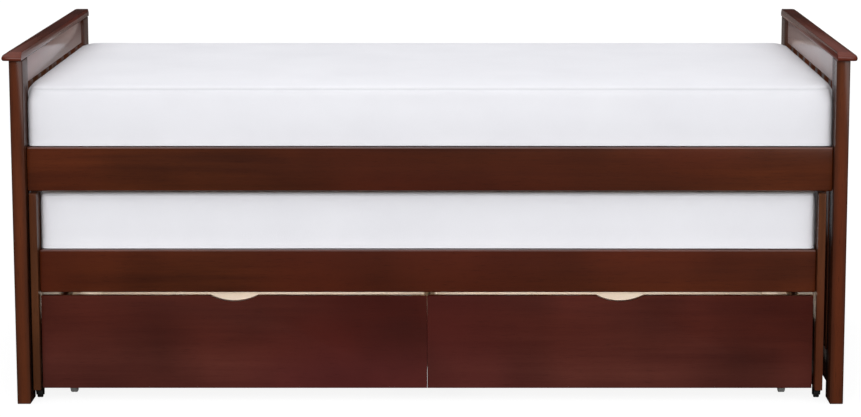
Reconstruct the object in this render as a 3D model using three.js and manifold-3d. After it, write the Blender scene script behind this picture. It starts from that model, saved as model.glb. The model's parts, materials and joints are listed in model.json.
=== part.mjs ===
// Trundle bed: a single bed on four flat posts with slatted ends and moulded
// caps, a second bed on castors that rolls out from under it, and two storage
// drawers on wheels that stand side by side inside the second bed.
//
// Millimetres. +X runs along the bed, -Y is the side the trundle comes out of,
// +Z is up. The origin is on the floor under the middle of the bed.

import * as THREE from 'three';
import { mergeVertices } from 'three/addons/utils/BufferGeometryUtils.js';
import Module from 'manifold-3d';

const wasm = await Module();
wasm.setup();

// ---------------------------------------------------------------- dimensions
const GAP = 0.3; // clearance between pieces that meet face to face

// fixed bed
const INSIDE_HALF_X = 980.5; // inner face of the posts
const DEPTH_HALF = 545; // front and back faces of the posts
const POST_T = 33; // along X
const POST_D = 76; // along Y
const POST_H = 849;
const CAP_T = 21;
const CAP_OVER = 15.5; // overhang of the cap, outside and at both ends
const HEADER_T = 15;
const HEADER_H = 67.3;
const END_SLAT_W = 45;
const END_SLAT_T = 15; // as thick as the top rail, so their faces are flush
const END_SLAT_N = 7;
const FOOT_RAIL_T = 22;
const FOOT_RAIL_Z0 = 31;
const FOOT_RAIL_H = 80;
const TONGUE_T = 6; // filler strip that ties the end slats in their groove
const TONGUE_H = 11;
const SIDE_RAIL_T = 24;
const SIDE_RAIL_H = 108;
const SIDE_RAIL_Z0 = 526;
const SIDE_RAIL_SETBACK = 25;
const CLEAT_W = 24;
const CLEAT_H = 22;
const BED_SLAT_Z0 = 553;
const SLAT_T = 18;
const SLAT_W = 70;
const SLAT_N = 13;
const STRAP_W = 30;
const STRAP_T = 1.6;
const BED_MATTRESS = { halfX: 980, halfY: 495, z0: 571.4, z1: 776 };

// trundle
const TR_X = -5.75; // where it stands between the posts
const TR_HALF_X = 970; // outer faces of its legs
const TR_HALF_Y = 529;
const LEG_T = 18;
const LEG_D = 76;
const LEG_Z0 = 30.5;
const LEG_Z1 = 521;
const TR_RAIL_T = 24;
const TR_RAIL_FACE = 507;
const TR_RAIL_Z0 = 272;
const TR_RAIL_Z1 = 378;
const TR_END_Z0 = 96;
const TR_CLEAT_Z0 = 300;
const TR_SLAT_Z0 = 322;
const TR_MATTRESS = { halfX: 951.2, halfY: 482.3, z0: 340.4, z1: 519.5 };

// castors under the trundle legs
const CASTOR_TRAIL = 18;
const CASTOR_WHEEL_R = 12.5;
const CASTOR_WHEEL_W = 14;
const CASTOR_BORE_R = 2.4;
const CASTOR_PIN_R = 2;
const CASTOR_HALF_W = 10;
const CHEEK_T = 2.2;
const CROWN_Z0 = 26.2;
const CROWN_Z1 = 30.2;
const STEM_R = 4;
const STEM_Z1 = 60;
const SOCKET_R = 4.5;
const SOCKET_Z1 = 62;
// turn of each castor as it stands, degrees about +Z, 0 = trailing towards +Y
const CASTOR_TURN = { front_left: 5, front_right: -4, back_left: -24, back_right: 16 };

// drawers
const DR_W = 947.4;
const DR_BETWEEN = 0.8;
const DR_MIDDLE = -7.6; // middle of the gap between the two drawers
const DR_Z0 = 31.5;
const DR_Z1 = 263.5;
const DR_FRONT_T = 18;
const DR_FACE_Y = -507;
const DR_BACK_Y = 458; // rear face of the drawer
const DR_SIDE_T = 12;
const DR_SIDE_INSET = 1.5; // drawer box is narrower than its front, each side
const DR_SIDE_Z0 = 50;
const DR_SIDE_Z1 = 185;
const DR_BACK_T = 12;
const DR_BOTTOM_T = 9;
const DR_BOTTOM_Z0 = 62.3;
const GROOVE = 5;
const CUTOUT_W = 117;
const CUTOUT_H = 14.5;
const RUNNER_W = 44;
const RUNNER_Z0 = 20;
const WHEEL_R = 25;
const WHEEL_W = 16;
const WHEEL_PIN_R = 3;
const WHEEL_PIN_L = 43;
const WHEEL_IN = 64; // wheel centre from the end of the drawer front
const WHEEL_Y_OUTER = [-418, 400];
const WHEEL_Y_INNER = [-362, 400];

// ----------------------------------------------------------------- materials
const finish = (name, color, roughness, metalness = 0) => {
  const m = new THREE.MeshStandardMaterial({ color, roughness, metalness });
  m.name = name;
  return m;
};
const WOOD = () => finish('frame_wood', 0x5c3020, 0.42);
const FRONT_WOOD = () => finish('drawer_front_wood', 0x48221e, 0.42);
const SLAT_WOOD = () => finish('slat_wood', 0xc9a878, 0.7);
const PANEL = () => finish('drawer_panel', 0xe9dcc4, 0.55);
const FABRIC = () => finish('mattress_fabric', 0xe8e8ec, 0.9);
const CASTOR_PLASTIC = () => finish('castor_plastic', 0x151515, 0.45);
const WHEEL_PLASTIC = () => finish('drawer_wheel_plastic', 0xb8b8b6, 0.5);

// ------------------------------------------------------------------- helpers
const bed = new THREE.Group();

const add = (name, geometry, material, x = 0, y = 0, z = 0, parent = bed) => {
  const mesh = new THREE.Mesh(geometry, material);
  mesh.name = name;
  mesh.position.set(x, y, z);
  parent.add(mesh);
  return mesh;
};

// a plain board between two corners
const board = (name, x0, x1, y0, y1, z0, z1, material, parent = bed) =>
  add(name, new THREE.BoxGeometry(x1 - x0, y1 - y0, z1 - z0), material,
    (x0 + x1) / 2, (y0 + y1) / 2, (z0 + z1) / 2, parent);

const boxAt = (x0, x1, y0, y1, z0, z1) =>
  new THREE.BoxGeometry(x1 - x0, y1 - y0, z1 - z0)
    .translate((x0 + x1) / 2, (y0 + y1) / 2, (z0 + z1) / 2);

const solid = (geometry) => {
  let g = geometry.clone();
  g.deleteAttribute('normal');
  g.deleteAttribute('uv');
  g = mergeVertices(g, 1e-4);
  return new wasm.Manifold(new wasm.Mesh({
    numProp: 3,
    vertProperties: new Float32Array(g.attributes.position.array),
    triVerts: new Uint32Array(g.index.array),
  }));
};

const geometryOf = (manifold) => {
  const m = manifold.getMesh();
  const g = new THREE.BufferGeometry();
  g.setAttribute('position', new THREE.BufferAttribute(new Float32Array(m.vertProperties), 3));
  g.setIndex(new THREE.BufferAttribute(new Uint32Array(m.triVerts), 1));
  g.computeVertexNormals();
  return g;
};

const joined = (...geometries) =>
  geometryOf(geometries.map(solid).reduce((a, b) => a.add(b)));

const cut = (geometry, ...tools) =>
  geometryOf(tools.map(solid).reduce((a, b) => a.subtract(b), solid(geometry)));

// a profile drawn in (a, b) and pushed along the third axis
const alongX = (points, length) => {
  const g = new THREE.ExtrudeGeometry(new THREE.Shape(points.map(([y, z]) => new THREE.Vector2(y, z))),
    { depth: length, bevelEnabled: false });
  // shape x -> Y, shape y -> Z, depth -> X
  const m = new THREE.Matrix4().makeBasis(
    new THREE.Vector3(0, 1, 0), new THREE.Vector3(0, 0, 1), new THREE.Vector3(1, 0, 0));
  return g.applyMatrix4(m).translate(-length / 2, 0, 0);
};

// shape (x, z) pushed from y0 to y1
const alongY = (shape, y0, y1) => {
  const g = new THREE.ExtrudeGeometry(shape, { depth: y1 - y0, bevelEnabled: false, curveSegments: 12 });
  const m = new THREE.Matrix4().makeBasis(
    new THREE.Vector3(1, 0, 0), new THREE.Vector3(0, 0, 1), new THREE.Vector3(0, -1, 0));
  return g.applyMatrix4(m).translate(0, y1, 0);
};

const cylinderX = (r, length, segments = 16) =>
  new THREE.CylinderGeometry(r, r, length, segments).rotateZ(Math.PI / 2);

const cylinderZ = (r, z0, z1, segments = 16) =>
  new THREE.CylinderGeometry(r, r, z1 - z0, segments).rotateX(Math.PI / 2).translate(0, 0, (z0 + z1) / 2);

// closed stack of equal-length loops, bottom to top, counter-clockwise from above
const stack = (loops) => {
  const n = loops[0].length;
  const position = loops.flat(2);
  const index = [];
  for (let k = 0; k + 1 < loops.length; k++) {
    for (let i = 0; i < n; i++) {
      const a = k * n + i;
      const b = k * n + ((i + 1) % n);
      index.push(a, b, b + n, a, b + n, a + n);
    }
  }
  const capEnd = (base, flip) => {
    for (let i = 1; i + 1 < n; i++) {
      index.push(base, base + (flip ? i + 1 : i), base + (flip ? i : i + 1));
    }
  };
  capEnd(0, true);
  capEnd((loops.length - 1) * n, false);
  const g = new THREE.BufferGeometry();
  g.setAttribute('position', new THREE.BufferAttribute(new Float32Array(position), 3));
  g.setIndex(index);
  g.computeVertexNormals();
  return g;
};

// rounded rectangle, counter-clockwise; radii at (+x,+y), (-x,+y), (-x,-y), (+x,-y)
const roundedLoop = (x0, x1, y0, y1, z, radii, steps) => {
  const corners = [
    [x1, y1, radii[0], 0], [x0, y1, radii[1], 1], [x0, y0, radii[2], 2], [x1, y0, radii[3], 3],
  ];
  const out = [];
  for (const [x, y, r, q] of corners) {
    const cx = x - Math.sign(x - (x0 + x1) / 2) * r;
    const cy = y - Math.sign(y - (y0 + y1) / 2) * r;
    for (let i = 0; i <= steps; i++) {
      const a = (q + i / steps) * Math.PI / 2;
      out.push([cx + r * Math.cos(a), cy + r * Math.sin(a), z]);
    }
  }
  return out;
};

// ----------------------------------------------------------- ends of the bed
const openY = 2 * (DEPTH_HALF - POST_D);
const slatGap = (openY - END_SLAT_N * END_SLAT_W) / (END_SLAT_N + 1);

for (const [side, s] of [['left', -1], ['right', 1]]) {
  const mid = s * (INSIDE_HALF_X + POST_T / 2);
  for (const [end, e] of [['front', -1], ['back', 1]]) {
    const x0 = Math.min(s * INSIDE_HALF_X, s * (INSIDE_HALF_X + POST_T));
    const y0 = Math.min(e * DEPTH_HALF, e * (DEPTH_HALF - POST_D));
    board(`post_${end}_${side}`, x0, x0 + POST_T, y0, y0 + POST_D, 0, POST_H - GAP, WOOD());
  }

  const yIn = DEPTH_HALF - POST_D - GAP;
  // upper end rail, grooved underneath for the slats
  const h0 = POST_H - HEADER_H;
  const groove = (z, up) => boxAt(-(TONGUE_T / 2 + GAP), TONGUE_T / 2 + GAP, -yIn + 8, yIn - 8,
    up ? z - 5 : z - (TONGUE_H + 1), up ? z + TONGUE_H + 1 : z + 5);
  add(`end_top_rail_${side}`,
    cut(boxAt(-HEADER_T / 2, HEADER_T / 2, -yIn, yIn, h0, POST_H - GAP), groove(h0, true)),
    WOOD(), mid);
  // lower end rail, grooved on top
  const f1 = FOOT_RAIL_Z0 + FOOT_RAIL_H;
  add(`end_bottom_rail_${side}`,
    cut(boxAt(-FOOT_RAIL_T / 2, FOOT_RAIL_T / 2, -yIn, yIn, FOOT_RAIL_Z0, f1), groove(f1, false)),
    WOOD(), mid);
  // seven slats tied by the filler strips that sit in the two grooves
  const pieces = [];
  for (let i = 0; i < END_SLAT_N; i++) {
    const y = -openY / 2 + slatGap + END_SLAT_W / 2 + i * (END_SLAT_W + slatGap);
    pieces.push(boxAt(-END_SLAT_T / 2, END_SLAT_T / 2, y - END_SLAT_W / 2, y + END_SLAT_W / 2, f1 + GAP, h0 - GAP));
  }
  const strip = (z0, z1) => boxAt(-TONGUE_T / 2, TONGUE_T / 2, -yIn + 9, yIn - 9, z0, z1);
  pieces.push(strip(f1 - TONGUE_H, f1 + GAP + 1.2), strip(h0 - GAP - 1.2, h0 + TONGUE_H));
  add(`end_slats_${side}`, joined(...pieces), WOOD(), mid);

  // moulded cap: straight on the inside, moulded outside and at both ends
  const xin = s * INSIDE_HALF_X;
  const xout = s * (INSIDE_HALF_X + POST_T + CAP_OVER);
  const yEnd = DEPTH_HALF + CAP_OVER;
  const profile = [ // [inset from the outermost line, height above the underside]
    [2.2, 0], [0.4, 2.6], [0, 6.2], [0.9, 9.8], [3.0, 13.2], [5.6, 15.2], [8.4, 15.8], [10.2, 17.2], [12.2, 19.6], [15.5, 21],
  ];
  const loops = profile.map(([inset, h]) => {
    const x0 = s < 0 ? xout + inset : xin;
    const x1 = s < 0 ? xin : xout - inset;
    const r = 7; // outer corners are slightly rounded in plan
    const radii = s < 0 ? [0.01, r, r, 0.01] : [r, 0.01, 0.01, r];
    return roundedLoop(x0 - mid, x1 - mid, -yEnd + inset, yEnd - inset, POST_H + h * CAP_T / 21, radii, 3);
  });
  add(`end_cap_${side}`, geometryOf(solid(stack(loops))), WOOD(), mid);
}

// ------------------------------------------------------------ sides and base
const railX = INSIDE_HALF_X - GAP;
for (const [end, e] of [['front', -1], ['back', 1]]) {
  const yo = e * (DEPTH_HALF - SIDE_RAIL_SETBACK);
  const yi = e * (DEPTH_HALF - SIDE_RAIL_SETBACK - SIDE_RAIL_T);
  board(`side_rail_${end}`, -railX, railX, Math.min(yo, yi), Math.max(yo, yi),
    SIDE_RAIL_Z0, SIDE_RAIL_Z0 + SIDE_RAIL_H, WOOD());
  const ca = yi - e * GAP;
  const cb = yi - e * CLEAT_W;
  board(`slat_ledge_${end}`, -railX + 20, railX - 20, Math.min(ca, cb), Math.max(ca, cb),
    BED_SLAT_Z0 - GAP - CLEAT_H, BED_SLAT_Z0 - GAP, SLAT_WOOD());
}

// loose slats tied by two webbing straps underneath
const slatKit = (halfX, halfY, z0) => {
  const pieces = [];
  for (let i = 0; i < SLAT_N; i++) {
    const x = -halfX + SLAT_W / 2 + i * (2 * halfX - SLAT_W) / (SLAT_N - 1);
    pieces.push(boxAt(x - SLAT_W / 2, x + SLAT_W / 2, -halfY, halfY, 0, SLAT_T));
  }
  for (const y of [-halfY * 0.55, halfY * 0.55]) {
    pieces.push(boxAt(-halfX + 10, halfX - 10, y - STRAP_W / 2, y + STRAP_W / 2, -STRAP_T, 0.25));
  }
  return joined(...pieces).translate(0, 0, z0);
};
add('bed_slats', slatKit(946, DEPTH_HALF - SIDE_RAIL_SETBACK - SIDE_RAIL_T - 2, BED_SLAT_Z0), SLAT_WOOD());

// mattress: a rounded block
const mattress = ({ halfX, halfY, z0, z1 }, corner, edge) => {
  const levels = [[edge, 0], [edge * 0.3, edge * 0.3], [0, edge], [0, z1 - z0 - edge],
    [edge * 0.3, z1 - z0 - edge * 0.3], [edge, z1 - z0]];
  return stack(levels.map(([inset, h]) => roundedLoop(-halfX + inset, halfX - inset, -halfY + inset, halfY - inset,
    z0 + h, Array(4).fill(corner - inset * 0.5), 4)));
};
add('bed_mattress', geometryOf(solid(mattress(BED_MATTRESS, 18, 14))), FABRIC());

// ------------------------------------------------------------------- trundle
const trundle = new THREE.Group();
trundle.position.x = TR_X;
bed.add(trundle);

const legMidX = TR_HALF_X - LEG_T / 2;
const legMidY = TR_HALF_Y - LEG_D / 2;
for (const [end, e] of [['front', -1], ['back', 1]]) {
  for (const [side, s] of [['left', -1], ['right', 1]]) {
    const leg = cut(boxAt(-LEG_T / 2, LEG_T / 2, -LEG_D / 2, LEG_D / 2, LEG_Z0, LEG_Z1),
      cylinderZ(SOCKET_R, LEG_Z0 - 5, SOCKET_Z1));
    add(`trundle_leg_${end}_${side}`, leg, WOOD(), s * legMidX, e * legMidY, 0, trundle);
  }
  const yo = e * TR_RAIL_FACE;
  const yi = e * (TR_RAIL_FACE - TR_RAIL_T);
  const half = TR_HALF_X - LEG_T - GAP;
  board(`trundle_rail_${end}`, -half, half, Math.min(yo, yi), Math.max(yo, yi), TR_RAIL_Z0, TR_RAIL_Z1, WOOD(), trundle);
  const ca = yi - e * GAP;
  const cb = yi - e * 22;
  board(`trundle_ledge_${end}`, -half + 8, half - 8, Math.min(ca, cb), Math.max(ca, cb),
    TR_CLEAT_Z0, TR_SLAT_Z0 - GAP, SLAT_WOOD(), trundle);
}
for (const [side, s] of [['left', -1], ['right', 1]]) {
  const xa = s * TR_HALF_X;
  const xb = s * (TR_HALF_X - LEG_T);
  const y = TR_HALF_Y - LEG_D - GAP;
  board(`trundle_end_panel_${side}`, Math.min(xa, xb), Math.max(xa, xb), -y, y, TR_END_Z0, TR_RAIL_Z1, WOOD(), trundle);
}
add('trundle_slats', slatKit(938, TR_RAIL_FACE - TR_RAIL_T - 2, TR_SLAT_Z0), SLAT_WOOD(), 0, 0, 0, trundle);
add('trundle_mattress', geometryOf(solid(mattress(TR_MATTRESS, 16, 13))), FABRIC(), 0, 0, 0, trundle);

// castor fork: crown, two cheeks, axle pin and the stem that goes up into the leg
const forkGeometry = () => {
  const crown = new THREE.Shape();
  crown.moveTo(-CASTOR_HALF_W, 0);
  crown.absarc(0, 0, CASTOR_HALF_W, Math.PI, 2 * Math.PI, false);
  crown.lineTo(CASTOR_HALF_W, CASTOR_TRAIL + 5);
  crown.lineTo(CASTOR_HALF_W - 3, CASTOR_TRAIL + 9);
  crown.lineTo(-CASTOR_HALF_W + 3, CASTOR_TRAIL + 9);
  crown.lineTo(-CASTOR_HALF_W, CASTOR_TRAIL + 5);
  const plate = new THREE.ExtrudeGeometry(crown, { depth: CROWN_Z1 - CROWN_Z0, bevelEnabled: false, curveSegments: 8 })
    .translate(0, 0, CROWN_Z0);
  const side = [[-3, 27], [2, 20], [CASTOR_TRAIL - 5, 9], [CASTOR_TRAIL - 2, 7], [CASTOR_TRAIL + 2, 7],
    [CASTOR_TRAIL + 5, 10], [CASTOR_TRAIL + 7, 18], [CASTOR_TRAIL + 6, 27]];
  const cheek = (x) => alongX(side, CHEEK_T).translate(x, 0, 0);
  return joined(
    plate,
    cheek(CASTOR_HALF_W - CHEEK_T / 2),
    cheek(-CASTOR_HALF_W + CHEEK_T / 2),
    cylinderX(CASTOR_PIN_R, 2 * CASTOR_HALF_W - 1, 12).translate(0, CASTOR_TRAIL, CASTOR_WHEEL_R),
    cylinderZ(STEM_R, CROWN_Z1 - 1, STEM_Z1, 12),
  );
};

// wheel with rounded tread, turned about its own axle (the X axis)
const wheelGeometry = (r, w, bore, crownDrop, segments) => {
  const h = w / 2;
  const pts = [
    [bore, -h], [r * 0.86, -h], [r * 0.96, -h * 0.82], [r, -h * 0.45 - crownDrop], [r, h * 0.45 + crownDrop],
    [r * 0.96, h * 0.82], [r * 0.86, h], [bore, h], [bore, -h],
  ].map(([x, y]) => new THREE.Vector2(x, y));
  return new THREE.LatheGeometry(pts, segments).rotateZ(-Math.PI / 2);
};

for (const [end, e] of [['front', -1], ['back', 1]]) {
  for (const [side, s] of [['left', -1], ['right', 1]]) {
    const castor = new THREE.Group();
    castor.position.set(s * legMidX, e * legMidY, 0);
    castor.rotation.z = THREE.MathUtils.degToRad(CASTOR_TURN[`${end}_${side}`]);
    trundle.add(castor);
    add(`castor_fork_${end}_${side}`, forkGeometry(), CASTOR_PLASTIC(), 0, 0, 0, castor);
    add(`castor_wheel_${end}_${side}`,
      geometryOf(solid(wheelGeometry(CASTOR_WHEEL_R, CASTOR_WHEEL_W, CASTOR_BORE_R, 0, 24))),
      CASTOR_PLASTIC(), 0, CASTOR_TRAIL, CASTOR_WHEEL_R, castor);
  }
}

// ------------------------------------------------------------------- drawers
for (const [side, s] of [['left', -1], ['right', 1]]) {
  const drawer = new THREE.Group();
  const mid = DR_MIDDLE + s * (DR_W + DR_BETWEEN) / 2;
  drawer.position.x = mid;
  bed.add(drawer);
  const name = `drawer_${side}`;
  const half = DR_W / 2;
  const yFrontIn = DR_FACE_Y + DR_FRONT_T;
  const yBackIn = DR_BACK_Y - DR_BACK_T;
  const boxHalf = half - DR_SIDE_INSET;
  const b0 = DR_BOTTOM_Z0 - GAP;
  const b1 = DR_BOTTOM_Z0 + DR_BOTTOM_T + GAP;

  // front with a half-moon finger hold in its top edge and a groove for the bottom
  const r = (CUTOUT_W ** 2 / 4 + CUTOUT_H ** 2) / (2 * CUTOUT_H);
  const arc = Math.asin(CUTOUT_W / 2 / r);
  const face = new THREE.Shape();
  face.moveTo(-half, DR_Z0);
  face.lineTo(half, DR_Z0);
  face.lineTo(half, DR_Z1);
  face.lineTo(CUTOUT_W / 2, DR_Z1);
  face.absarc(0, DR_Z1 - CUTOUT_H + r, r, -Math.PI / 2 + arc, -Math.PI / 2 - arc, true);
  face.lineTo(-half, DR_Z1);
  add(`${name}_front`,
    cut(alongY(face, DR_FACE_Y, yFrontIn),
      boxAt(-boxHalf + DR_SIDE_T - GROOVE, boxHalf - DR_SIDE_T + GROOVE, yFrontIn - GROOVE - 1, yFrontIn + 5, b0, b1)),
    FRONT_WOOD(), 0, 0, 0, drawer);

  // grooved sides
  for (const [hand, h] of [['left', -1], ['right', 1]]) {
    const xo = h * boxHalf;
    const xi = h * (boxHalf - DR_SIDE_T);
    add(`${name}_side_${hand}`,
      cut(boxAt(Math.min(xo, xi), Math.max(xo, xi), yFrontIn + GAP, DR_BACK_Y, DR_SIDE_Z0, DR_SIDE_Z1),
        boxAt(Math.min(xi + h * GROOVE, xi - h * 5), Math.max(xi + h * GROOVE, xi - h * 5),
          yFrontIn - 5, DR_BACK_Y + 5, b0, b1)),
      PANEL(), 0, 0, 0, drawer);
  }
  const inHalf = boxHalf - DR_SIDE_T;
  // back, standing on the bottom panel
  board(`${name}_back`, -inHalf + GAP, inHalf - GAP, yBackIn, DR_BACK_Y, b1, DR_SIDE_Z1, PANEL(), drawer);
  board(`${name}_bottom`, -inHalf - GROOVE + 2 * GAP, inHalf + GROOVE - 2 * GAP,
    yFrontIn - GROOVE, DR_BACK_Y, DR_BOTTOM_Z0, DR_BOTTOM_Z0 + DR_BOTTOM_T, PANEL(), drawer);

  // two runners under the bottom, each slotted for two wheels
  for (const [hand, h] of [['left', -1], ['right', 1]]) {
    const x = h * (half - WHEEL_IN);
    const rows = h === s ? WHEEL_Y_OUTER : WHEEL_Y_INNER;
    const slots = rows.flatMap((y) => [
      boxAt(-WHEEL_W / 2 - 2, WHEEL_W / 2 + 2, y - WHEEL_R - 4, y + WHEEL_R + 4, RUNNER_Z0 - 5, b0 + 5),
      cylinderX(WHEEL_PIN_R + GAP, RUNNER_W + 10, 12).translate(0, y, WHEEL_R),
    ]);
    add(`${name}_runner_${hand}`,
      cut(boxAt(-RUNNER_W / 2, RUNNER_W / 2, yFrontIn + 30, DR_BACK_Y - 4, RUNNER_Z0, b0), ...slots),
      WOOD(), x, 0, 0, drawer);
    rows.forEach((y, i) => {
      add(`${name}_wheel_${i ? 'back' : 'front'}_${hand}`,
        joined(wheelGeometry(WHEEL_R, WHEEL_W, 1.2, 0, 28), cylinderX(WHEEL_PIN_R, WHEEL_PIN_L, 12)),
        WHEEL_PLASTIC(), x, y, WHEEL_R, drawer);
    });
  }
}

export default bed;
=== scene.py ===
"""Looks of the trundle bed: lacquered boards, softwood slats, melamine drawer
boxes, wheels and the two mattresses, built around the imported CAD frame."""

import json
import math

import bmesh
import bpy
import numpy as np
from mathutils import Matrix, Vector


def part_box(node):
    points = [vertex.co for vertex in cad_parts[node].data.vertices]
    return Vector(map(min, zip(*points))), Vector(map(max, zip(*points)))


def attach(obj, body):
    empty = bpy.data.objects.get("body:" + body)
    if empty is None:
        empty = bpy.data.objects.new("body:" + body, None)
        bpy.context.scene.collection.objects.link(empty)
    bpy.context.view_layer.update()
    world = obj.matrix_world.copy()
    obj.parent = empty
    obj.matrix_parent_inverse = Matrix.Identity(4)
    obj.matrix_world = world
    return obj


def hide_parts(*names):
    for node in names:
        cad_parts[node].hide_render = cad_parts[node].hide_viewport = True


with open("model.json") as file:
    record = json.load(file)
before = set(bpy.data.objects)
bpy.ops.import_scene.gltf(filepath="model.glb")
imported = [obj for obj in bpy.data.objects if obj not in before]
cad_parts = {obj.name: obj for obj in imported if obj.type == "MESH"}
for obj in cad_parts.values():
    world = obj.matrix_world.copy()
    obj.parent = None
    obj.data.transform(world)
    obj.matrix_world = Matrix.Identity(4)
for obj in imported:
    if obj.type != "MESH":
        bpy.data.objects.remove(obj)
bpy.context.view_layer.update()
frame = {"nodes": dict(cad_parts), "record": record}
NODES = frame["nodes"]
scene = bpy.context.scene
scene.view_settings.view_transform = "Standard"

# ------------------------------------------------------------------- camera
cam_data = bpy.data.cameras.new("camera")
cam = bpy.data.objects.new("camera", cam_data)
scene.collection.objects.link(cam)
cam.location = (0.0857, -6.665, 1.555)
cam.rotation_euler = (math.radians(90 - 8.448), 0.0, math.radians(0.024))
cam_data.sensor_width = 36.0
cam_data.lens = 106.989
cam_data.shift_x = -0.039
cam_data.shift_y = -0.075
cam_data.clip_start = 0.05
cam_data.clip_end = 60.0
scene.camera = cam


# ------------------------------------------------------------ node shorthand
class Tree:
    def __init__(self, tree):
        self.t = tree
        tree.nodes.clear()

    def node(self, kind, **props):
        n = self.t.nodes.new(kind)
        for k, v in props.items():
            setattr(n, k, v)
        return n

    def link(self, a, b):
        self.t.links.new(a, b)

    def feed(self, socket, value):
        if isinstance(value, bpy.types.NodeSocket):
            self.t.links.new(value, socket)
        else:
            socket.default_value = value

    def math(self, op, a, b=0.0, c=0.0, clamp=False):
        n = self.node("ShaderNodeMath", operation=op, use_clamp=clamp)
        self.feed(n.inputs[0], a)
        self.feed(n.inputs[1], b)
        self.feed(n.inputs[2], c)
        return n.outputs[0]

    def vmath(self, op, a, b=(0, 0, 0)):
        n = self.node("ShaderNodeVectorMath", operation=op)
        self.feed(n.inputs[0], a)
        self.feed(n.inputs[1], b)
        return n.outputs["Value"] if op in ("DOT_PRODUCT", "LENGTH") else n.outputs["Vector"]

    def noise(self, vector, scale=1.0, detail=3.0, rough=0.5, w=None, distortion=0.0):
        n = self.node("ShaderNodeTexNoise", noise_dimensions="4D" if w is not None else "3D")
        self.feed(n.inputs["Vector"], vector)
        n.inputs["Scale"].default_value = scale
        n.inputs["Detail"].default_value = detail
        n.inputs["Roughness"].default_value = rough
        n.inputs["Distortion"].default_value = distortion
        if w is not None:
            self.feed(n.inputs["W"], w)
        return n.outputs["Fac"]

    def range(self, value, a, b, c=0.0, d=1.0, smooth=False):
        n = self.node("ShaderNodeMapRange", clamp=True)
        if smooth:
            n.interpolation_type = "SMOOTHSTEP"
        self.feed(n.inputs["Value"], value)
        n.inputs["From Min"].default_value = a
        n.inputs["From Max"].default_value = b
        n.inputs["To Min"].default_value = c
        n.inputs["To Max"].default_value = d
        return n.outputs["Result"]

    def mix(self, fac, a, b, blend="MIX"):
        n = self.node("ShaderNodeMix", data_type="RGBA", blend_type=blend)
        self.feed(n.inputs[0], fac)
        for socket, value in ((n.inputs[6], a), (n.inputs[7], b)):
            if isinstance(value, tuple) and len(value) == 3:
                value = (*value, 1.0)
            self.feed(socket, value)
        return n.outputs[2]

    def ramp(self, fac, stops):
        n = self.node("ShaderNodeValToRGB")
        e = n.color_ramp.elements
        e[0].position, e[0].color = stops[0][0], (*stops[0][1], 1)
        e[1].position, e[1].color = stops[-1][0], (*stops[-1][1], 1)
        for p, c in stops[1:-1]:
            x = e.new(p)
            x.color = (*c, 1)
        self.feed(n.inputs["Fac"], fac)
        return n.outputs["Color"]

    def bump(self, height, distance, strength=1.0, normal=None):
        n = self.node("ShaderNodeBump")
        n.inputs["Strength"].default_value = strength
        n.inputs["Distance"].default_value = distance
        self.feed(n.inputs["Height"], height)
        if normal is not None:
            self.link(normal, n.inputs["Normal"])
        return n.outputs["Normal"]


def material(name):
    m = bpy.data.materials.new(name)
    m.use_nodes = True
    t = Tree(m.node_tree)
    out = t.node("ShaderNodeOutputMaterial")
    b = t.node("ShaderNodeBsdfPrincipled")
    t.link(b.outputs[0], out.inputs[0])
    return m, t, b


def srgb(r, g, b):
    f = lambda c: c / 12.92 if c <= 0.04045 else ((c + 0.055) / 1.055) ** 2.4
    return tuple(f(v / 255.0) for v in (r, g, b))


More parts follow.
